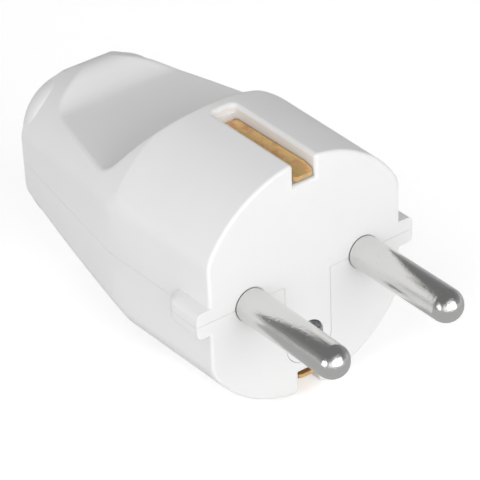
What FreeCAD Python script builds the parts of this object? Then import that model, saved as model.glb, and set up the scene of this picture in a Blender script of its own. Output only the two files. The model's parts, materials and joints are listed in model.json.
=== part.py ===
import FreeCAD, Part
import math
import os

# A rewirable two-pole plug with side earth contacts, in millimetres.
# The origin is the middle of the engagement face, between the pins.
# The pins point along -Y, the body runs back along +Y, and +Z is up.

V = FreeCAD.Vector
CENTRE = V(0, 0, 0)
ALONG_X = V(1, 0, 0)
ALONG_Y = V(0, 1, 0)
ALONG_Z = V(0, 0, 1)
SAME = 1e-6

# Contact pins
pin_diameter = 4.8
pin_pitch = 19.0
pin_reach = 19.0
pin_ring_depth = 0.15
pin_ring_gap = 0.12
neck_diameter = 4.2
terminal_diameter = 7.2
terminal_length = 12.0
terminal_edge = 0.4
wire_hole_diameter = 3.4
wire_hole_depth = 9.0

# Head of the housing: a drum with two flats, both widening a little towards the rear
head_diameter = 36.2
head_flat_depth = 2.1
head_draft = 0.3
head_length = 22.0
flat_edge_round = 4.4
face_edge_round = 0.5
face_wall = 3.2
wall = 2.2

# Tail of the housing: a bulging cone with tapering flats
tail_bend = 20.2
tail_start = 49.4
tail_diameter = 25.2
tail_flat_depth = 0.8
tail_bulge = 0.2

# Bead round the cord mouth
bead_width = 20.8
bead_height = 21.2
bead_corner = 7.0
bead_section = 3.0
bead_round = 1.4
bead_overlap = 0.7
end_wall = 4.3
mouth_diameter = 9.5
mouth_round = 1.0

# Scooped grips above and below the tail
shoulder_top = 19.2
shoulder_foot = 25.0
scoop_height = 20.3
scoop_foot_round = 4.0
lip_run = 3.6
lip_set_back = 3.6
lip_rise = 0.95
lip_foot_round = 3.5
lip_top_round = 3.0
rear_drop = 1.7
scoop_edge_round = 1.0

# Guide lugs on the flats
lug_reach = 2.2
lug_height = 4.0
lug_length = 7.0
lug_rear_round = 2.0
lug_edge_round = 1.0

# Earth slots and the bent brass strip in them
slot_width = 3.6
slot_length = 17.1
slot_depth = 3.4
slot_corner = 0.7
slot_rim_round = 0.6
strip_width = 3.4
strip_thickness = 0.6
strip_recess = 1.8
strip_back = 16.7
strip_bend = 0.1
strip_ramp = 2.0
strip_ramp_bend = 1.2
strip_dip = 0.5
strip_tip_round = 0.8
strip_inset = 0.1
earth_pad_width = 9.0
earth_pad_height = 10.0
earth_pad_corner = 1.2
earth_collar = 5.6
earth_collar_length = 2.0

# Tongue of the upper shell and the screw through it
tongue_width = 7.6
tongue_drop = 13.2
tongue_corner = 3.3
assembly_drop = 9.4
assembly_head = 4.6
assembly_boss_width = 9.2
assembly_boss_top = 5.6
assembly_boss_length = 7.0
assembly_recess = 0.1
nut_across_flats = 5.5
nut_thickness = 2.4
nut_set_back = 2.6

# Screws: shank, head and length of each kind
small_shank = 3.0
small_head = 5.6
small_head_height = 1.8
assembly_screw_length = 8.6
terminal_screw_length = 4.6
clamp_screw_length = 8.0
earth_shank = 3.5
earth_head = 6.4
earth_head_height = 2.0
earth_screw_length = 6.0
driver_slot = 0.8
driver_slot_depth = 0.9
screw_edge = 0.3
earth_washer_size = 8.0
earth_washer_thickness = 1.2

# Cord clamp: an arched saddle on two posts
clamp_place = 34.0
clamp_width = 6.0
clamp_thickness = 2.2
clamp_bore = 9.8
clamp_corner = 2.4
clamp_pitch = 16.4
clamp_seat = 2.4
clamp_post = 5.2
clamp_end = 2.6
ridge_thickness = 1.0
ridge_pitch = 3.2
ridge_half = 6.0
ridge_top = 2.6

# Ribs that cradle the terminals and guide the bracket, and the hooks at the rear of the upper shell
rib_thickness = 1.3
rib_inset = 5.0
front_rib = 1.0
rear_rib = 10.5
guide_width = 6.4
guide_thickness = 1.0
guide_height = 6.0
hook_width = 2.8
hook_thickness = 1.6
hook_inset = 5.7
hook_drop = 3.4
hook_toe = 1.1
hook_toe_height = 1.8
hook_root = 4.0

# Clearances, and how far a cut runs past the face that it opens
seam = 0.04
fit = 0.06
thread_fit = 0.05
head_fit = 0.15
over = 1.0

head_radius = head_diameter / 2
head_flat = head_radius - head_flat_depth
rear_radius = head_radius + head_draft
tail_radius = tail_diameter / 2
tail_flat = tail_radius - tail_flat_depth
mouth_radius = mouth_diameter / 2
body_length = tail_start - bead_overlap + bead_section
cavity_end = body_length - end_wall
terminal_start = face_wall
terminal_end = terminal_start + terminal_length
terminal_screw_place = terminal_end - wire_hole_depth / 2
strip_top = head_radius - strip_recess
assembly_seat = assembly_recess + small_head_height
nut_start = face_wall + nut_set_back
pin_places = (-pin_pitch / 2, pin_pitch / 2)
clamp_places = (-clamp_pitch / 2, clamp_pitch / 2)


def box(x, y, z):
    """A box between two limits along each axis."""
    return Part.makeBox(x[1] - x[0], y[1] - y[0], z[1] - z[0], V(x[0], y[0], z[0]))


def rod(diameter, start, direction, length):
    """A round bar from a point along a direction."""
    return Part.makeCylinder(diameter / 2, length, start, direction)


def line(start, end):
    """A straight edge between two points."""
    return Part.LineSegment(start, end).toShape()


def prism(outline, direction):
    """An outline's face pushed along a direction."""
    return Part.Face(outline).extrude(direction)


def rounded_outline(corners):
    """A closed outline through (point, radius) corners, with a tangent arc where the radius isn't zero."""
    count = len(corners)
    stations = []
    for i, (point, radius) in enumerate(corners):
        before = (corners[i - 1][0] - point).normalize()
        after = (corners[(i + 1) % count][0] - point).normalize()
        if radius == 0:
            stations.append((point, None, point))
            continue
        half = before.getAngle(after) / 2
        middle = (before + after).normalize()
        reach = radius / math.tan(half)
        nearest = point + middle * (radius / math.sin(half) - radius)
        stations.append((point + before * reach, nearest, point + after * reach))
    edges = []
    for i, (start, nearest, end) in enumerate(stations):
        if nearest is not None:
            edges.append(Part.Arc(start, nearest, end).toShape())
        following = stations[(i + 1) % count][0]
        if (following - end).Length > SAME:
            edges.append(line(end, following))
    return Part.Wire(edges)


def rounded_rectangle(width, height, radius, y):
    """An upright rectangle with round corners across the Y axis."""
    places = ((-1, -1), (1, -1), (1, 1), (-1, 1))
    return rounded_outline([(V(sx * width / 2, y, sz * height / 2), radius) for sx, sz in places])


def both_sides(shape):
    """The shape above the seam, and its mirror image below."""
    return [shape, shape.mirror(CENTRE, ALONG_Z)]


def edges_on(shape, first, second):
    """The shape's edges whose middle lies on the skins of both of two other shapes."""
    near = 1e-4
    found = []
    for edge in shape.Edges:
        middle = Part.Vertex(edge.valueAt((edge.FirstParameter + edge.LastParameter) / 2))
        if all(middle.distToShape(skin.Shells[0])[0] < near for skin in (first, second)):
            found.append(edge)
    return found


def turned_form(inset):
    """The drum and the bulging tail, turned about the Y axis."""
    front = V(head_radius - inset, 0, 0)
    bend = V(rear_radius - inset, tail_bend, 0)
    end = V(tail_radius - inset, tail_start, 0)
    middle = (bend + end) * 0.5 + ALONG_X * tail_bulge
    rim = V(0, tail_start, 0)
    section = [
        line(CENTRE, front),
        line(front, bend),
        Part.Arc(bend, middle, end).toShape(),
        line(end, rim),
        line(rim, CENTRE),
    ]
    return Part.Face(Part.Wire(section)).revolve(CENTRE, ALONG_Y, 360)


def plan_form(inset):
    """What lies between the flats, which widen along the head and taper behind it."""
    head = head_flat - inset
    tail = tail_flat - inset
    side = [
        V(head, 0, 0),
        V(head + head_draft, head_length, 0),
        V(tail, tail_start, 0),
        V(tail, body_length, 0),
    ]
    corners = side + [V(-p.x, p.y, 0) for p in reversed(side)]
    outline = Part.makePolygon([p - ALONG_Z * head_diameter for p in corners + corners[:1]])
    return prism(outline, ALONG_Z * 2 * head_diameter)


def grip_space(grow):
    """The space above one grip and the lip behind it, grown by the wall for the cavity below."""
    above = rear_radius + 2 * over
    floor = scoop_height / 2
    slope = (shoulder_foot - shoulder_top) / (rear_radius - floor)
    lip_top = tail_start - lip_set_back
    corners = [
        (V(0, shoulder_foot - slope * (above - floor), above), 0),
        (V(0, shoulder_foot, floor), scoop_foot_round),
        (V(0, lip_top - lip_run, floor), lip_foot_round),
        (V(0, lip_top, tail_radius + lip_rise), lip_top_round),
        (V(0, body_length, tail_radius - rear_drop), 0),
        (V(0, body_length, above), 0),
    ]
    outline = rounded_outline(corners)
    if grow:
        outline = outline.makeOffset2D(grow, 2)
    outline.translate(ALONG_X * -head_diameter)
    return prism(outline, ALONG_X * 2 * head_diameter)


def bead():
    """The rounded bead at the rear end, round the cord mouth."""
    outline = rounded_rectangle(bead_width, bead_height, bead_corner, body_length - bead_section)
    plate = prism(outline, ALONG_Y * bead_section)
    rims = [e for e in plate.Edges if e.BoundBox.YLength < SAME]
    return plate.makeFillet(bead_round, rims)


def earth_slot():
    """The upper slot for the earth strip, open at the face, with round rear corners."""
    half = slot_width / 2
    floor = head_radius - slot_depth
    corners = [
        (V(-half, -over, floor), 0),
        (V(half, -over, floor), 0),
        (V(half, slot_length, floor), slot_corner),
        (V(-half, slot_length, floor), slot_corner),
    ]
    return prism(rounded_outline(corners), ALONG_Z * (slot_depth + head_draft + over))


def lug():
    """The right-hand guide lug, with a rounded rear end and rounded outer edges."""
    root = head_flat - wall / 2
    tip = head_flat + lug_reach
    low = -lug_height / 2
    corners = [
        (V(root, 0, low), 0),
        (V(tip, 0, low), 0),
        (V(tip, lug_length, low), lug_rear_round),
        (V(root, lug_length, low), 0),
    ]
    block = prism(rounded_outline(corners), ALONG_Z * lug_height)
    level = [e for e in block.Edges if e.BoundBox.ZLength < SAME and e.BoundBox.YLength > SAME]
    outer = [e for e in level if e.CenterOfMass.x > tip - lug_rear_round]
    return block.makeFillet(lug_edge_round, outer)


def housing_outside():
    """The whole outer form of the two shells together."""
    drum = turned_form(0)
    plan = plan_form(0)
    blank = drum.common(plan)
    corners = [e for e in edges_on(blank, drum, plan) if e.BoundBox.YLength > over]
    blank = blank.makeFillet(flat_edge_round, corners)
    form = blank
    grips = both_sides(grip_space(0))
    for grip in grips:
        form = form.cut(grip)
    for grip in grips:
        form = form.makeFillet(scoop_edge_round, edges_on(form, blank, grip))
    face_rim = [e for e in form.Edges if e.BoundBox.YMax < SAME]
    form = form.makeFillet(face_edge_round, face_rim)
    closed = form
    slots = both_sides(earth_slot())
    for slot in slots:
        form = form.cut(slot)
    for slot in slots:
        form = form.makeFillet(slot_rim_round, edges_on(form, closed, slot))
    right = lug()
    form = form.fuse([bead(), right, right.mirror(CENTRE, ALONG_X)]).removeSplitter()
    form = form.cut(rod(mouth_diameter, V(0, cavity_end, 0), ALONG_Y, end_wall + over))
    rear = [e for e in form.Edges if e.BoundBox.YMin > body_length - SAME]
    mouth = [e for e in rear if e.BoundBox.XMax < mouth_radius + fit]
    return form.makeFillet(mouth_round, mouth)


def cavity():
    """The hollow inside both shells, one wall thickness in from the outside."""
    hollow = turned_form(wall).common(plan_form(wall))
    for grip in both_sides(grip_space(wall)):
        hollow = hollow.cut(grip)
    reach = (-rear_radius, rear_radius)
    return hollow.common(box(reach, (face_wall, cavity_end), reach))


def half_space(above):
    """Everything on one side of the seam, half the seam's gap away from it."""
    far = 2 * head_radius
    limits = (seam / 2, far) if above else (-far, -seam / 2)
    return box((-far, far), (-over, body_length + over), limits)


def pin_passages():
    """The stepped holes that hold the pins by their necks, and the room for their terminals and screws."""
    terminal_room = terminal_diameter + 2 * thread_fit
    screw_room = small_head + 2 * head_fit
    screw_top = terminal_diameter / 2 + small_head_height + head_fit
    holes = []
    for x in pin_places:
        holes.append(rod(neck_diameter + 2 * thread_fit, V(x, -over, 0), ALONG_Y, face_wall + 2 * over))
        holes.append(rod(pin_diameter + 2 * pin_ring_gap, V(x, -over, 0), ALONG_Y, pin_ring_depth + over))
        holes.append(rod(terminal_room, V(x, terminal_start, 0), ALONG_Y, terminal_length + over))
        holes.append(rod(screw_room, V(x, terminal_screw_place, 0), ALONG_Z, screw_top))
    return holes


def terminal_ribs(hollow):
    """Cross ribs under or over each pin's terminal."""
    ribs = []
    for side in (-1, 1):
        span = sorted((side * rib_inset, side * head_radius))
        for start in (front_rib, rear_rib):
            y = terminal_start + start
            rib = box(span, (y, y + rib_thickness), (-head_radius, head_radius))
            ribs.append(rib.common(hollow))
    return ribs


def tongue(grow):
    """The tongue of the face that hangs from the upper shell over the lower one."""
    half = tongue_width / 2 + grow
    low = -tongue_drop - grow
    top = 2 * over
    corners = [
        (V(-half, 0, top), 0),
        (V(-half, 0, low), tongue_corner),
        (V(half, 0, low), tongue_corner),
        (V(half, 0, top), 0),
    ]
    return prism(rounded_outline(corners), ALONG_Y * face_wall)


def assembly_hole(diameter):
    """The straight hole for the screw that joins the shells."""
    depth = face_wall + assembly_boss_length + 2 * over
    return rod(diameter + 2 * thread_fit, V(0, -over, -assembly_drop), ALONG_Y, depth)


def hexagon(across_flats, y):
    """A hexagon across the Y axis round the joining screw, with two flats upright."""
    radius = across_flats / math.sqrt(3)
    turns = [math.radians(60 * i + 30) for i in range(7)]
    points = [V(radius * math.cos(a), y, radius * math.sin(a) - assembly_drop) for a in turns]
    return Part.makePolygon(points)


def nut_pocket():
    """The pocket for the nut, open towards the seam so that the nut drops in."""
    across = nut_across_flats + 2 * fit
    y = nut_start - fit
    depth = nut_thickness + 2 * fit
    seat = prism(hexagon(across, y), ALONG_Y * depth)
    shaft = box((-across / 2, across / 2), (y, y + depth), (-assembly_drop, -assembly_boss_top + over))
    return seat.fuse(shaft)


def hook(side, grow):
    """One hook of the upper shell, or with a clearance the pocket for its toe."""
    span = sorted((side * hook_inset, side * (hook_inset + hook_width)))
    x = (span[0] - grow, span[1] + grow)
    back = cavity_end - fit
    low = -hook_drop
    toe = box(x, (back - over, cavity_end + hook_toe + grow), (low - grow, low + hook_toe_height + grow))
    if grow:
        return toe
    leg = box(x, (back - hook_thickness, back), (low, hook_root))
    root = box(x, (back - hook_thickness, cavity_end + over), (seam / 2, hook_root))
    return leg.fuse([toe, root])


def upper_shell(whole, hollow):
    """The upper half, with the tongue, the saddles, the bracket stop and the hooks."""
    inside = half_space(True)
    stop_top = head_radius - wall / 2
    stop_start = strip_back + fit
    stop = box(
        (-guide_width / 2, guide_width / 2),
        (stop_start, stop_start + guide_thickness),
        (stop_top - guide_height, stop_top),
    )
    additions = [rib.common(inside) for rib in terminal_ribs(hollow)]
    additions += [stop, tongue(0), hook(-1, 0), hook(1, 0)]
    shell = whole.common(inside).fuse(additions)
    recess_start = V(0, -over, -assembly_drop)
    recess = rod(assembly_head + 2 * head_fit, recess_start, ALONG_Y, assembly_seat + over)
    shell = shell.cut(pin_passages() + [assembly_hole(small_shank), recess])
    return shell.removeSplitter()


def clamp_holes(depth):
    """The holes for the clamp's screws, down from the top of the clamp."""
    top = clamp_seat + clamp_thickness
    holes = []
    for x in clamp_places:
        start = V(x, clamp_place, top + over)
        holes.append(rod(small_shank + 2 * thread_fit, start, -ALONG_Z, depth + over))
    return holes


def lower_shell(whole, hollow):
    """The lower half, with the nut boss, the saddles, the bracket gate and the clamp's posts."""
    inside = half_space(False)
    deep = -head_radius
    boss_half = assembly_boss_width / 2
    boss_end = face_wall + assembly_boss_length
    boss = box((-boss_half, boss_half), (face_wall, boss_end), (deep, -assembly_boss_top))
    gate_back = strip_back - strip_thickness - fit
    gate_half = guide_width / 2
    gate_top = guide_height + wall - head_radius
    gate = box((-gate_half, gate_half), (gate_back - guide_thickness, gate_back), (deep, gate_top))
    additions = [rib.common(inside) for rib in terminal_ribs(hollow)]
    additions += [boss.common(hollow), gate.common(hollow)]
    cord = rod(mouth_diameter, V(0, face_wall, 0), ALONG_Y, body_length)
    for step in (-1, 0, 1):
        y = clamp_place + step * ridge_pitch - ridge_thickness / 2
        ridge = box((-ridge_half, ridge_half), (y, y + ridge_thickness), (deep, -ridge_top))
        additions.append(ridge.common(hollow).cut(cord))
    for x in clamp_places:
        post = rod(clamp_post, V(x, clamp_place, deep), ALONG_Z, head_radius)
        additions.append(post.common(hollow))
        additions.append(rod(clamp_post, V(x, clamp_place, -over), ALONG_Z, clamp_seat + over))
    shell = whole.common(inside).fuse(additions)
    cuts = pin_passages() + [tongue(fit), assembly_hole(small_shank), nut_pocket()]
    cuts += [earth_slot().mirror(CENTRE, ALONG_Z), hook(-1, fit), hook(1, fit)]
    cuts += clamp_holes(clamp_screw_length + over)
    return shell.cut(cuts).removeSplitter()


def contact_pin(x):
    """A pin turned in one piece with its terminal, drilled for the wire and its screw."""
    radius = pin_diameter / 2
    neck = neck_diameter / 2
    block = terminal_diameter / 2
    bend = radius * math.sqrt(0.5)
    tip = V(x, -pin_reach, 0)
    dome = V(x + radius, radius - pin_reach, 0)
    dome_middle = V(x + bend, radius - pin_reach - bend, 0)
    points = [
        dome,
        V(x + radius, 0, 0),
        V(x + neck, 0, 0),
        V(x + neck, terminal_start, 0),
        V(x + block - terminal_edge, terminal_start, 0),
        V(x + block, terminal_start + terminal_edge, 0),
        V(x + block, terminal_end - terminal_edge, 0),
        V(x + block - terminal_edge, terminal_end, 0),
        V(x, terminal_end, 0),
        tip,
    ]
    edges = [Part.Arc(tip, dome_middle, dome).toShape()]
    edges += [line(a, b) for a, b in zip(points, points[1:])]
    pin = Part.Face(Part.Wire(edges)).revolve(V(x, 0, 0), ALONG_Y, 360)
    wire_start = V(x, terminal_end - wire_hole_depth, 0)
    wire = rod(wire_hole_diameter, wire_start, ALONG_Y, wire_hole_depth + over)
    screw_start = V(x, terminal_screw_place, 0)
    threads = rod(small_shank + 2 * thread_fit, screw_start, ALONG_Z, terminal_diameter)
    return pin.cut([wire, threads])


def screw(shank, head, head_height, length, seat, direction):
    """A slotted screw whose head bears at the seat and whose shank points along the direction."""
    top = Part.makeCylinder(head / 2, head_height, V(0, 0, -head_height))
    top = top.makeFillet(screw_edge, [e for e in top.Edges if e.BoundBox.ZMax < SAME - head_height])
    stem = Part.makeCylinder(shank / 2, length)
    stem = stem.makeChamfer(screw_edge, [e for e in stem.Edges if e.BoundBox.ZMin > length - SAME])
    slot_half = driver_slot / 2
    slot = box((-head, head), (-slot_half, slot_half), (-2 * head_height, driver_slot_depth - head_height))
    body = top.fuse(stem).cut(slot).removeSplitter()
    body.Placement = FreeCAD.Placement(seat, FreeCAD.Rotation(ALONG_Z, direction))
    return body


def terminal_screws():
    """One screw down into each terminal."""
    seats = [V(x, terminal_screw_place, terminal_diameter / 2) for x in pin_places]
    sizes = (small_shank, small_head, small_head_height, terminal_screw_length)
    return Part.makeCompound([screw(*sizes, seat, -ALONG_Z) for seat in seats])


def clamp_screws():
    """The two screws that hold the cord clamp down."""
    seats = [V(x, clamp_place, clamp_seat + clamp_thickness) for x in clamp_places]
    sizes = (small_shank, small_head, small_head_height, clamp_screw_length)
    return Part.makeCompound([screw(*sizes, seat, -ALONG_Z) for seat in seats])


def earth_bracket():
    """The earth strip: two arms that lie in the slots, joined by a cross piece with a threaded pad."""
    half = strip_width / 2
    low = strip_top - strip_dip
    front = strip_inset
    inner_back = strip_back - strip_thickness
    inner_top = strip_top - strip_thickness
    corners = [
        (V(-half, front, low), 0),
        (V(-half, strip_ramp, strip_top), strip_ramp_bend),
        (V(-half, strip_back, strip_top), strip_bend + strip_thickness),
        (V(-half, strip_back, 0), 0),
        (V(-half, inner_back, 0), 0),
        (V(-half, inner_back, inner_top), strip_bend),
        (V(-half, strip_ramp, inner_top), strip_ramp_bend),
        (V(-half, front, low - strip_thickness), 0),
    ]
    arm = prism(rounded_outline(corners), ALONG_X * strip_width)
    plan = [
        (V(-half, front, 0), strip_tip_round),
        (V(half, front, 0), strip_tip_round),
        (V(half, strip_back + over, 0), 0),
        (V(-half, strip_back + over, 0), 0),
    ]
    arm = arm.common(prism(rounded_outline(plan), ALONG_Z * head_radius))
    pad_outline = rounded_rectangle(earth_pad_width, earth_pad_height, earth_pad_corner, inner_back)
    pad = prism(pad_outline, ALONG_Y * strip_thickness)
    collar = rod(earth_collar, V(0, inner_back - earth_collar_length, 0), ALONG_Y, earth_collar_length)
    hole = rod(earth_shank + 2 * thread_fit, CENTRE, ALONG_Y, body_length)
    return arm.fuse([arm.mirror(CENTRE, ALONG_Z), pad, collar]).cut(hole).removeSplitter()


def earth_washer():
    """The square washer under the earth screw's head."""
    outline = rounded_rectangle(earth_washer_size, earth_washer_size, earth_pad_corner, strip_back)
    plate = prism(outline, ALONG_Y * earth_washer_thickness)
    return plate.cut(rod(earth_shank + 2 * thread_fit, CENTRE, ALONG_Y, body_length))


def cord_clamp():
    """The saddle over the cord: an arch with a flat foot on each post."""
    top = clamp_seat + clamp_thickness
    y = (clamp_place - clamp_width / 2, clamp_place + clamp_width / 2)
    arch_radius = clamp_bore / 2 + clamp_thickness
    arch = rod(2 * arch_radius, V(0, y[0], 0), ALONG_Y, clamp_width)
    arch = arch.common(box((-arch_radius, arch_radius), y, (clamp_seat, arch_radius)))
    end = clamp_pitch / 2 + clamp_end
    foot = box((-end, end), y, (clamp_seat, top))
    upright = [e for e in foot.Edges if e.BoundBox.ZLength > over]
    foot = foot.makeFillet(clamp_corner, upright)
    bore = rod(clamp_bore, CENTRE, ALONG_Y, body_length)
    return arch.fuse(foot).cut([bore] + clamp_holes(clamp_thickness + over)).removeSplitter()


def assembly_nut():
    """The hexagon nut that waits in the lower shell's boss."""
    blank = prism(hexagon(nut_across_flats, nut_start), ALONG_Y * nut_thickness)
    return blank.cut(assembly_hole(small_shank))


outside = housing_outside()
hollow = cavity()
whole = outside.cut(hollow)

nodes = {
    "upper_shell": upper_shell(whole, hollow),
    "lower_shell": lower_shell(whole, hollow),
    "line_pin": contact_pin(pin_places[0]),
    "neutral_pin": contact_pin(pin_places[1]),
    "terminal_screws": terminal_screws(),
    "earth_bracket": earth_bracket(),
    "earth_screw": screw(
        earth_shank, earth_head, earth_head_height, earth_screw_length,
        V(0, strip_back + earth_washer_thickness, 0), -ALONG_Y,
    ),
    "earth_washer": earth_washer(),
    "cord_clamp": cord_clamp(),
    "cord_clamp_screws": clamp_screws(),
    "assembly_screw": screw(
        small_shank, assembly_head, small_head_height, assembly_screw_length,
        V(0, assembly_seat, -assembly_drop), ALONG_Y,
    ),
    "assembly_nut": assembly_nut(),
}

os.makedirs("parts", exist_ok=True)
for name, shape in nodes.items():
    shape.exportStep("parts/" + name + ".step")
    print(name, shape.isValid(), len(shape.Solids), round(shape.Volume, 1))
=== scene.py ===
# %% [markdown]
# # Dressing a mains plug
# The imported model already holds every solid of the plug: two moulded half shells, two pins, a bent
# brass earth strip, and the screws and clamp inside. This lesson never moves those solids. It gives
# each of them the finish of the real thing, adds the soft bead round the tail, and sets up a small
# studio like the one in the picture.

# %% Load the frame
import json
import math

import bpy
import numpy as np
from mathutils import Matrix, Vector


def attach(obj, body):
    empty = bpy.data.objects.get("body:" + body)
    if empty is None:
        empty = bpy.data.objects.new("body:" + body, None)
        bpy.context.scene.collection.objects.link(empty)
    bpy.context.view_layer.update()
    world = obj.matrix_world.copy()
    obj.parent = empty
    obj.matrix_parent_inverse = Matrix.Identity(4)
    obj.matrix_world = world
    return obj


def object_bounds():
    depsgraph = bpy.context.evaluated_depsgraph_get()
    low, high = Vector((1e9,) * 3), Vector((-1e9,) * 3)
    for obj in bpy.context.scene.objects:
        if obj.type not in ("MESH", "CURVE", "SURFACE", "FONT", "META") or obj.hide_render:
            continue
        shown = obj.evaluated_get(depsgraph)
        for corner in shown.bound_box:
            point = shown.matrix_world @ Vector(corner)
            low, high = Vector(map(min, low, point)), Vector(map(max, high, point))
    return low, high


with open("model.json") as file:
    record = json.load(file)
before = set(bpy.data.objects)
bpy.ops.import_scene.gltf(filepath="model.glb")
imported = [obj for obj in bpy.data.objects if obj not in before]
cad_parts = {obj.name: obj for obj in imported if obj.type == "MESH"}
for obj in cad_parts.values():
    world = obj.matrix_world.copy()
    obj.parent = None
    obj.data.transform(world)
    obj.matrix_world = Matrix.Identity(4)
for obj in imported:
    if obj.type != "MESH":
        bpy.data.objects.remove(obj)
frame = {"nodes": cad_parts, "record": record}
nodes = frame["nodes"]
cad_low, cad_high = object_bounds()
mm = 0.001
print("nodes:", len(nodes), "box in mm:", [round((b - a) / mm, 1) for a, b in zip(cad_low, cad_high)])

# %% [markdown]
# ## Smooth shading on the solids
# A solid arrives as loose triangles, so every facet would catch the light by itself. Merging the
# points in a modifier leaves the stored points alone. Edges that turn by more than a set angle are
# split again, so that rims stay crisp while the round drum and the scooped grips shade smoothly. The
# normals that came with the triangles no longer fit then, and one at the tip of each pin even points
# sideways. So a first modifier drops them, and a last one makes new ones, in which large faces count
# most.

# %% Smooth the solids
weld_distance = 0.00001 * mm
crease_degrees = 32


def fresh_normals():
    """A geometry graph of one node, which drops the stored normals so that the faces give new ones."""
    graph = bpy.data.node_groups.new("fresh_normals", "GeometryNodeTree")
    graph.interface.new_socket("Mesh", in_out="INPUT", socket_type="NodeSocketGeometry")
    graph.interface.new_socket("Mesh", in_out="OUTPUT", socket_type="NodeSocketGeometry")
    start = graph.nodes.new("NodeGroupInput")
    drop = graph.nodes.new("GeometryNodeSetMeshNormal")
    drop.inputs["Remove Custom"].default_value = True
    end = graph.nodes.new("NodeGroupOutput")
    graph.links.new(start.outputs[0], drop.inputs["Mesh"])
    graph.links.new(drop.outputs[0], end.inputs[0])
    return graph


def smooth_solid(solid, graph):
    """Drop the old normals, weld the triangles, split edges over the crease angle, weigh new normals."""
    solid.data.polygons.foreach_set("use_smooth", np.ones(len(solid.data.polygons), bool))
    solid.modifiers.new("fresh_normals", "NODES").node_group = graph
    weld = solid.modifiers.new("merge_points", "WELD")
    weld.merge_threshold = weld_distance
    crease = solid.modifiers.new("keep_rims", "EDGE_SPLIT")
    crease.split_angle = math.radians(crease_degrees)
    even = solid.modifiers.new("large_faces_lead", "WEIGHTED_NORMAL")
    even.mode = "FACE_AREA"


normals_graph = fresh_normals()
for solid in nodes.values():
    smooth_solid(solid, normals_graph)
print("smoothed:", ", ".join(sorted(nodes)))

# %% [markdown]
# ## Writing shader maths as Python
# A material is a graph of small nodes. Wrapping a socket in a class with the usual operators lets a
# formula be read as a formula: `1 - mask` adds the Math node that does it. One method of the graph
# makes any other node: its settings first, then the values or links of its sockets.

# %% A socket with arithmetic


class Value:
    """A socket of a shader graph. Sums, differences and products of values add Math nodes."""

    def __init__(self, graph, socket):
        self.graph = graph
        self.socket = socket

    def math(self, operation, a, b):
        """The Math node that works out one operation on two values or numbers."""
        return self.graph.node("ShaderNodeMath", {"operation": operation}, {0: a, 1: b})

    def __add__(self, other):
        return self.math("ADD", self, other)

    def __radd__(self, other):
        return self.math("ADD", other, self)

    def __sub__(self, other):
        return self.math("SUBTRACT", self, other)

    def __rsub__(self, other):
        return self.math("SUBTRACT", other, self)

    def __mul__(self, other):
        return self.math("MULTIPLY", self, other)

    def __rmul__(self, other):
        return self.math("MULTIPLY", other, self)

    def above(self, level):
        """1 where the value is over the level, and 0 elsewhere."""
        return self.math("GREATER_THAN", self, level)

    def at_most(self, level):
        """The value or the level, whichever is less."""
        return self.math("MINIMUM", self, level)


class Graph:
    """A shader graph, with one method that adds any node and a short one for each common node."""

    def __init__(self, tree):
        self.tree = tree

    def node(self, kind, settings, inputs, output=0):
        """Add a node, apply its settings (a ramp's stops among them), then set or link its sockets."""
        made = self.tree.nodes.new(kind)
        for key, value in settings.items():
            if key == "stops":
                self.set_stops(made.color_ramp, value)
            else:
                setattr(made, key, value)
        for key, value in inputs.items():
            self.feed(made.inputs[key], value)
        return Value(self, made.outputs[output])

    def set_stops(self, ramp, stops):
        """Give a ramp its (place, grey) stops."""
        while len(ramp.elements) < len(stops):
            ramp.elements.new(1.0)
        for element, (place, grey) in zip(ramp.elements, stops):
            element.position = place
            element.color = (grey, grey, grey, 1)

    def feed(self, socket, value):
        """Link a value to a socket, or set the socket's own number or colour."""
        if isinstance(value, Value):
            self.tree.links.new(value.socket, socket)
        elif isinstance(value, tuple) and len(value) == 3 and socket.type == "RGBA":
            socket.default_value = (*value, 1)
        else:
            socket.default_value = value

    def place(self, stretch=(1, 1, 1)):
        """Where a point lies on the object, with each coordinate multiplied by its own number."""
        where = self.node("ShaderNodeTexCoord", {}, {}, "Object")
        return self.node("ShaderNodeMapping", {}, {"Vector": where, "Scale": stretch})

    def axis(self, place, letter):
        """One coordinate of a place."""
        return self.node("ShaderNodeSeparateXYZ", {}, {"Vector": place}, letter)

    def size(self, value):
        """A value without its sign."""
        return self.node("ShaderNodeMath", {"operation": "ABSOLUTE"}, {0: value})

    def noise(self, place, scale, detail, roughness=0.55):
        """Soft cloudy noise from 0 to 1, with clouds about 1 / scale wide."""
        sizes = {"Vector": place, "Scale": scale, "Detail": detail, "Roughness": roughness}
        return self.node("ShaderNodeTexNoise", {}, sizes)

    def ramp(self, value, *stops):
        """A grey ramp through (place, grey) stops."""
        return self.node("ShaderNodeValToRGB", {"stops": stops}, {"Fac": value})

    def blend(self, amount, first, second):
        """A colour between two colours."""
        colours = {"Factor": amount, 6: first, 7: second}
        return self.node("ShaderNodeMix", {"data_type": "RGBA"}, colours, 2)

    def bump(self, height, strength, distance):
        """A surface direction tilted by a height, where 1 stands for the distance in metres."""
        relief = {"Height": height, "Strength": strength, "Distance": distance}
        return self.node("ShaderNodeBump", {}, relief)


class Finish(Graph):
    """A new material: its graph and its main shader."""

    def __init__(self, name):
        self.material = bpy.data.materials.new(name)
        self.material.use_nodes = True
        super().__init__(self.material.node_tree)
        self.shader = self.tree.nodes["Principled BSDF"]

    def set(self, **sockets):
        """Feed the main shader's sockets; underscores in a name stand for spaces."""
        for key, value in sockets.items():
            self.feed(self.shader.inputs[key.replace("_", " ")], value)


print("shader maths ready")

# %% [markdown]
# ## White moulded plastic
# The housing is moulded in a satin white plastic. It isn't perfectly even: the mould leaves a fine
# eggshell texture that softens the highlights, and slow flow of the material leaves very faint clouds.
# Both are noise on the object's own coordinates, one about a third of a millimetre wide and one about
# a centimetre.

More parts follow.
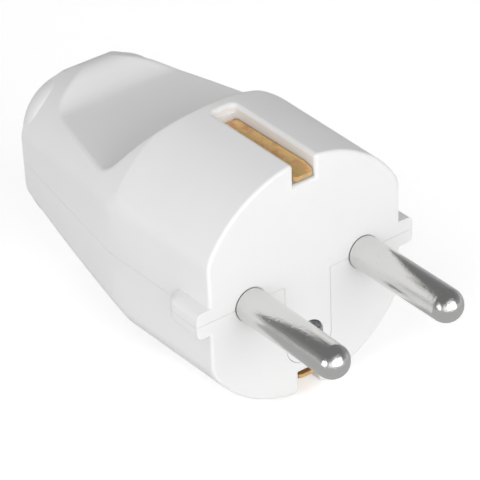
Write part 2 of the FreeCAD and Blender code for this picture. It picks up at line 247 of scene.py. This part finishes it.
# %% Plastic finish
plastic_index = 1.5
cloud_scale, cloud_band = 95.0, ((0.3, 0.0), (0.75, 1.0))
eggshell_scale, eggshell_depth = 3200.0, 0.02 * mm


def moulded_plastic(name, light, dark, roughness):
    """Satin plastic: colour drifts from light to dark with slow clouds, and a fine eggshell bump."""
    finish = Finish(name)
    here = finish.place()
    clouds = finish.noise(here, cloud_scale, detail=2.0)
    eggshell = finish.noise(here, eggshell_scale, detail=2.0)
    finish.set(
        Base_Color=finish.blend(finish.ramp(clouds, *cloud_band), light, dark),
        Roughness=roughness + 0.08 * eggshell,
        Normal=finish.bump(eggshell, strength=0.10, distance=eggshell_depth),
        IOR=plastic_index,
    )
    return finish.material


housing_white = moulded_plastic(
    "housing_white", light=(0.880, 0.880, 0.878), dark=(0.862, 0.862, 0.860), roughness=0.36
)
clamp_white = moulded_plastic(
    "clamp_white", light=(0.790, 0.790, 0.780), dark=(0.760, 0.760, 0.750), roughness=0.42
)
print("made", housing_white.name, "and", clamp_white.name)

# %% [markdown]
# ## Bright nickel plate
# The pins are turned from bar and plated, so they are mirrors with a fine lengthwise grain: the noise
# stays fine across the pin and is drawn out along it. Faint dents and a few dull pits break up the
# reflection.

# %% Nickel finish
nickel_colour, pit_colour = (0.735, 0.734, 0.729), (0.540, 0.535, 0.530)
pin_grain_scale, pin_grain_stretch = 5200.0, (1.0, 0.06, 1.0)
dent_scale, dent_stretch = 4300.0, (1.0, 0.45, 1.0)
pit_scale, pit_band = 2600.0, ((0.72, 0.0), (0.80, 1.0))
nickel_relief = 0.05 * mm


def nickel_plate(name):
    """A mirror with a grain drawn out along Y, faint dents, and a sparse scatter of dull pits."""
    finish = Finish(name)
    grain = finish.noise(finish.place(pin_grain_stretch), pin_grain_scale, detail=2.0)
    dents = finish.noise(finish.place(dent_stretch), dent_scale, detail=3.0, roughness=0.7)
    pits = finish.ramp(finish.noise(finish.place(), pit_scale, detail=1.0), *pit_band)
    finish.set(
        Base_Color=finish.blend(pits, nickel_colour, pit_colour),
        Metallic=1.0,
        Roughness=0.09 + 0.08 * grain + 0.20 * pits,
        Normal=finish.bump(0.45 * grain + 0.75 * dents, strength=0.75, distance=nickel_relief),
    )
    return finish.material


pin_nickel = nickel_plate("pin_nickel")
print("made", pin_nickel.name)

# %% [markdown]
# ## Stamped brass
# The earth strip is cut from rolled brass and has been handled, so its yellow is broken by redder,
# duller patches a millimetre or two across, with a rolled grain along the strip. The two long edges
# of the arms are painted dark brown as shade from the narrow gaps beside them.

# %% Brass finish
brass_yellow, brass_red = (0.930, 0.640, 0.270), (0.760, 0.410, 0.200)
# Dark brown painted shade for the narrow gaps along the arms' long edges.
gap_shade_brown = (0.280, 0.150, 0.080)
arm_half_width = 1.7 * mm
arm_level = 13.0 * mm
# Where across the arm the painted gap shade starts and where it is full.
gap_shade_band = ((0.90, 0.0), (0.97, 1.0))
tarnish_scale, tarnish_stretch = 760.0, (1.0, 0.55, 1.0)
tarnish_band = ((0.42, 0.0), (0.62, 1.0))
strip_grain_scale, strip_grain_stretch = 4200.0, (1.0, 0.05, 1.0)
brass_relief = 0.03 * mm


def stamped_brass(name):
    """Rolled brass: tarnish clouds redden and dull the yellow, and the arms' long edges get painted shade.
    """
    finish = Finish(name)
    here = finish.place()
    across = finish.size(finish.axis(here, "X")) * (1 / arm_half_width)
    on_arm = finish.size(finish.axis(here, "Z")).above(arm_level)
    # Painted shade along the arms' long edges, where the gaps beside them lie in shadow.
    painted_gap_shade = finish.ramp(across, *gap_shade_band) * on_arm
    clouds = finish.noise(finish.place(tarnish_stretch), tarnish_scale, detail=5.0, roughness=0.65)
    tarnish = finish.ramp(clouds, *tarnish_band)
    grain = finish.noise(finish.place(strip_grain_stretch), strip_grain_scale, detail=2.0)
    rolled = finish.blend(tarnish, brass_yellow, brass_red)
    finish.set(
        Base_Color=finish.blend(0.75 * painted_gap_shade, rolled, gap_shade_brown),
        Metallic=0.66 - 0.2 * tarnish,
        Roughness=0.26 + 0.16 * tarnish + 0.08 * grain,
        Normal=finish.bump(0.5 * grain + 0.5 * clouds, strength=0.25, distance=brass_relief),
    )
    return finish.material


earth_brass = stamped_brass("earth_brass")
print("made", earth_brass.name)

# %% [markdown]
# ## Dull screw steel
# The screws are cheap zinc-plated steel, dark and blotchy. One cloud noise drives the colour, the
# roughness and a faint bump, so that the dark patches are also the dull ones.

# %% Steel finish
steel_grey, blotch_grey = (0.400, 0.400, 0.410), (0.150, 0.150, 0.155)
blotch_scale, blotch_band = 1500.0, ((0.36, 0.0), (0.66, 1.0))
steel_relief = 0.02 * mm


def dull_steel(name):
    """Zinc-plated steel: blotches mix a darker grey into the plate and roughen it."""
    finish = Finish(name)
    blotch = finish.ramp(finish.noise(finish.place(), blotch_scale, detail=4.0), *blotch_band)
    finish.set(
        Base_Color=finish.blend(blotch, steel_grey, blotch_grey),
        Metallic=1.0,
        Roughness=0.34 + 0.2 * blotch,
        Normal=finish.bump(blotch, strength=0.1, distance=steel_relief),
    )
    return finish.material


screw_steel = dull_steel("screw_steel")
print("made", screw_steel.name)

# %% [markdown]
# ## Giving every solid its finish
# The record says which material slot each node belongs to, so the finishes are handed out from there.

# %% Hand out the finishes
finish_of_slot = {
    "housing_plastic": housing_white,
    "clamp_plastic": clamp_white,
    "pin_nickel": pin_nickel,
    "earth_brass": earth_brass,
    "screw_steel": screw_steel,
}
for row in frame["record"]["subparts"]:
    solid = nodes[row["node"]]
    solid.data.materials.clear()
    solid.data.materials.append(finish_of_slot[row["material_slot"]])

# %% [markdown]
# ## From arrays to objects
# What the scene adds is worked out as whole arrays of points and faces, so one function can turn any of
# them into an object of one material.

# %% Objects from arrays


def add_mesh(name, points, faces, material):
    """Put an array of points and a list of faces into a new object of one material."""
    mesh = bpy.data.meshes.new(name)
    mesh.from_pydata(points.reshape(-1, 3).tolist(), [], faces)
    mesh.materials.append(material)
    made = bpy.data.objects.new(name, mesh)
    bpy.context.scene.collection.objects.link(made)
    return made


print("arrays can become objects")

# %% [markdown]
# ## The bead round the tail
# The solids end in a round tail with two flats and, behind its rim, a smaller rounded plate. On the
# real plug one soft roll joins them, and its outline is nearly a rounded square. So the roll lies under
# the surface at the sides, stands about 0.4 mm proud at the corners, and fills the step behind the rim.
# One could bevel a curve, but a grid of points over turn and section gives both the outline and the
# roll in one formula. Each half gets its own bead, so that the seam stays open.

# %% Tail bead
bead_half = 11.92 * mm
bead_squareness = 2.9
bead_crown = 47.8 * mm
bead_front_run, bead_front_drop = 0.9 * mm, 0.3 * mm
bead_rear_run, bead_rear_drop = 3.85 * mm, 3.05 * mm
bead_root = 1.6 * mm
seam_angle = 0.0005
section_points, turn_points = 41, 121


def bead_section():
    """Two quarter ellipses that meet at the crown, short to the front and long to the rear, and a root."""
    along = np.linspace(-np.pi / 2, np.pi / 2, section_points)
    front = along < 0
    y = bead_crown + np.where(front, bead_front_run, bead_rear_run) * np.sin(along)
    offset = -np.where(front, bead_front_drop, bead_rear_drop) * (1 - np.cos(along))
    return np.append(y, bead_crown - bead_front_run), np.append(offset, -bead_root)


def tail_bead(name, side):
    """At each turn, |x|^n + |z|^n = size^n, where size is the half width plus the section's offset."""
    y, offset = bead_section()
    turn = np.linspace(seam_angle, np.pi - seam_angle, turn_points)[:, None]
    power = 2 / bead_squareness
    x = (bead_half + offset) * np.sign(np.cos(turn)) * np.abs(np.cos(turn)) ** power
    z = (bead_half + offset) * np.sin(turn) ** power * side
    points = np.stack([x, np.broadcast_to(y, x.shape), z], axis=-1)
    corner = np.arange(x.size).reshape(x.shape)
    following = np.roll(corner, -1, axis=1)
    quads = np.stack([corner[:-1], following[:-1], following[1:], corner[1:]], axis=-1).reshape(-1, 4)
    ends = [corner[0, ::-side].tolist(), corner[-1, ::side].tolist()]
    bead = add_mesh(name, points, quads[:, ::side].tolist() + ends, housing_white)
    polygons = bead.data.polygons
    polygons.foreach_set("use_smooth", np.arange(len(polygons)) < len(quads))
    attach(bead, "root")
    return bead


beads = [tail_bead("upper_tail_bead", 1), tail_bead("lower_tail_bead", -1)]
print("beads:", ", ".join(f"{bead.name} {len(bead.data.polygons)} faces" for bead in beads))

# %% [markdown]
# ## The studio
# The picture is a cut-out on white. A pale floor touches the lowest point of the plug. Its paint gives
# back light as any paint does, which keeps the shadow, and a little of its own where the camera, a
# mirror or glass looks at it, which lifts the lit part to white.

# %% Floor and world
floor_half = 3.0
floor_paint = 0.86
floor_lift = 0.46
world_light = 0.35
black = (0.0, 0.0, 0.0)


def seen_directly(graph):
    """1 where a camera, glossy or transmission ray looks, and 0 for the light that bounces around."""
    path = graph.tree.nodes.new("ShaderNodeLightPath")
    names = ("Is Camera Ray", "Is Glossy Ray", "Is Transmission Ray")
    camera, glossy, through = (Value(graph, path.outputs[name]) for name in names)
    return (camera + glossy + through).at_most(1.0)


def make_floor():
    """A level square at the plug's lowest point, painted pale."""
    x = floor_half * np.array([-1, 1, 1, -1])
    y = floor_half * np.array([-1, -1, 1, 1])
    corners = np.stack([x, y, np.full(4, cad_low.z)], axis=1)
    paint = Finish("floor_paint")
    lift = paint.blend(seen_directly(paint), black, (floor_lift,) * 3)
    paint.set(Base_Color=(floor_paint,) * 3, Roughness=1.0, Specular_IOR_Level=0.0)
    paint.set(Emission_Color=lift, Emission_Strength=1.0)
    floor = add_mesh("floor", corners, [(0, 1, 2, 3)], paint.material)
    return floor


def light_world():
    """An even grey light from all round, white where it is looked at."""
    world = bpy.data.worlds.new("studio_air")
    bpy.context.scene.world = world
    world.use_nodes = True
    air = Graph(world.node_tree)
    background = air.tree.nodes["Background"]
    air.feed(background.inputs["Color"], (1.0, 1.0, 1.0))
    air.feed(background.inputs["Strength"], world_light + (1 - world_light) * seen_directly(air))


floor = make_floor()
light_world()
print(floor.name, "at", round(cad_low.z / mm, 2), "mm")

# %% [markdown]
# ## Cards for the mirrors
# On a round pin every mirrored ray heads back towards the face, so the pin shows the white face where
# the ray meets it and the room where the ray passes the rim. Real studios stand grey cards round metal
# so that those places read as dark. Here a curved card stands round the plug and darkens upwards, a
# lighter one lies under it, and the white floor shows between them. Only mirrored rays see the cards.

# %% Grey cards
wall_card_radius = 0.90
wall_card_foot = math.radians(1.0)
wall_card_tones = ((0.0, 0.42), (0.30, 0.29), (0.55, 0.20), (1.0, 0.20))
floor_card_inner, floor_card_radius = 0.0005, 0.50
floor_card_lift = 0.1 * mm
floor_card_tones = ((0.0, 0.50), (1.0, 0.50))
turn_lines, rise_lines, ring_lines = 65, 17, 5


def make_card(name, points, tones):
    """A grid of points as one sheet whose grey follows its height, seen by mirrored rays alone."""
    rows, columns = points.shape[:2]
    corner = np.arange(rows * columns).reshape(rows, columns)
    quads = np.stack([corner[:-1, :-1], corner[:-1, 1:], corner[1:, 1:], corner[1:, :-1]], axis=-1)
    felt = Finish(name + "_felt")
    height = felt.axis(felt.place(), "Z") * (1 / wall_card_radius)
    felt.set(Base_Color=black, Roughness=1.0, Specular_IOR_Level=0.0)
    felt.set(Emission_Color=felt.ramp(height, *tones), Emission_Strength=1.0)
    card = add_mesh(name, points, quads.reshape(-1, 4).tolist(), felt.material)
    card.visible_camera = False
    card.visible_diffuse = False
    card.visible_transmission = False
    card.visible_shadow = False
    return card


def wall_card():
    """Half a ball: the turn runs all round, and the rise goes from the card's foot to the top."""
    turns = np.linspace(0, 2 * np.pi, turn_lines)
    turn, rise = np.meshgrid(turns, np.linspace(wall_card_foot, np.pi / 2, rise_lines))
    ball = np.stack([np.cos(rise) * np.cos(turn), np.cos(rise) * np.sin(turn), np.sin(rise)], axis=-1)
    return make_card("wall_card", wall_card_radius * ball, wall_card_tones)


def floor_card():
    """A disc just over the floor: distance from the middle times the direction of each turn."""
    turns = np.linspace(0, 2 * np.pi, turn_lines)
    turn, out = np.meshgrid(turns, np.linspace(floor_card_inner, floor_card_radius, ring_lines))
    level = np.full_like(out, cad_low.z + floor_card_lift)
    disc = np.stack([out * np.cos(turn), out * np.sin(turn), level], axis=-1)
    return make_card("floor_card", disc, floor_card_tones)


cards = [wall_card(), floor_card()]
print("cards:", ", ".join(card.name for card in cards))

# %% [markdown]
# ## Lamps
# The face is the brightest side, the flats come next and the upward sides are the darkest. So the
# strongest soft box stands in front of the face with two faint ones near it, a weaker one shines down
# on the left, and two more lift the left and right edges. The power that gives a wanted brightness on
# white is worked out from the distance. Two of the boxes only give light, and don't show in the
# mirrored pins.

# %% Soft boxes
lamp_distance = 0.50


def soft_box(name, towards, size, level, mirrored):
    """A square lamp: power = level * pi^2 * distance^2 makes white of that level facing the lamp."""
    lamp = bpy.data.lights.new(name, "AREA")
    lamp.shape = "SQUARE"
    lamp.size = size
    lamp.energy = level * math.pi**2 * lamp_distance**2
    box = bpy.data.objects.new(name, lamp)
    bpy.context.scene.collection.objects.link(box)
    away = Vector(towards).normalized()
    box.location = away * lamp_distance
    box.rotation_mode = "QUATERNION"
    box.rotation_quaternion = away.to_track_quat("Z", "Y")
    box.visible_camera = False
    box.visible_glossy = mirrored
    return box


lamps = [
    soft_box("front_box", (0.0, -1.0, 0.20), size=0.45, level=0.61, mirrored=True),
    soft_box("high_front_box", (0.0, -0.85, 0.50), size=0.45, level=0.12, mirrored=True),
    soft_box("front_left_box", (-0.60, -0.75, 0.20), size=0.30, level=0.10, mirrored=True),
    soft_box("left_box", (-1.0, -0.10, 0.13), size=0.24, level=0.155, mirrored=True),
    soft_box("upper_left_box", (-0.70, 0.0, 0.70), size=0.35, level=0.27, mirrored=False),
    soft_box("right_box", (1.0, -0.10, 0.25), size=0.35, level=0.09, mirrored=False),
]
print("lamps:", ", ".join(lamp.name for lamp in lamps))

# %% [markdown]
# ## The camera
# The camera was fitted to the plug: the pins' known size and spacing, with the outline of the whole
# plug, give the distance and the lens.

# %% Camera
eye = Vector((-176.993, -225.535, 191.823)) * mm
aim = Vector((-5.257, 7.432, 4.422)) * mm
roll_degrees = -2.470
lens_mm, sensor_mm = 196.963, 36.0
near_clip, far_clip = 0.01, 20.0


def make_camera():
    """Look from the eye to the aim, then roll about the line of sight."""
    data = bpy.data.cameras.new("camera")
    data.lens = lens_mm
    data.sensor_width = sensor_mm
    data.clip_start = near_clip
    data.clip_end = far_clip
    camera = bpy.data.objects.new("camera", data)
    bpy.context.scene.collection.objects.link(camera)
    forward = (aim - eye).normalized()
    level = forward.to_track_quat("-Z", "Y").to_matrix()
    turned = level @ Matrix.Rotation(math.radians(roll_degrees), 3, "Z")
    camera.matrix_world = Matrix.Translation(eye) @ turned.to_4x4()
    bpy.context.scene.camera = camera
    return camera


camera = make_camera()
bpy.context.scene.view_settings.view_transform = "Standard"
print(camera.name, round((aim - eye).length / mm), "mm away")
